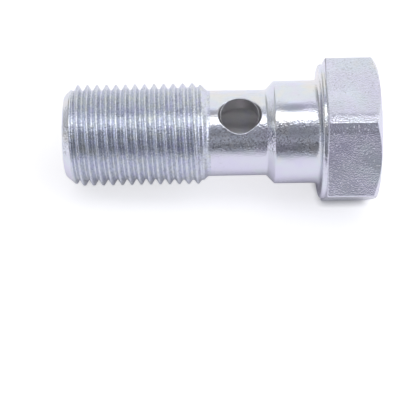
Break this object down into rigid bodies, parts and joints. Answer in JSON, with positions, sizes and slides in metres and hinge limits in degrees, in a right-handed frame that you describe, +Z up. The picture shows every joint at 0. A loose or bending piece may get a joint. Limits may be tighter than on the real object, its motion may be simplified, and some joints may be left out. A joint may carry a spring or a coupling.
{
  "type": "banjo bolt",
  "caption": "Hollow hexagon-head bolt with a plain shoulder, a necked section with a cross port, a fine threaded end and an axial fluid bore from its tip.",
  "frame": {"origin": "centre of the bounding box at its base, on the surface that the bolt lies on", "axes": "+Z up; the bolt lies along X with its head at +X and its threaded tip at -X, dipping about 4 degrees towards the tip; +Y across it"},
  "size_m": [0.0498, 0.0248, 0.022],
  "materials": {
    "zinc_plated_steel": "clear-blue bright zinc plate over turned and cold-headed steel, with light dents and stains"
  },
  "bodies": {
    "root": {"banjo_bolt": "zinc_plated_steel"}
  },
  "joints": []
}
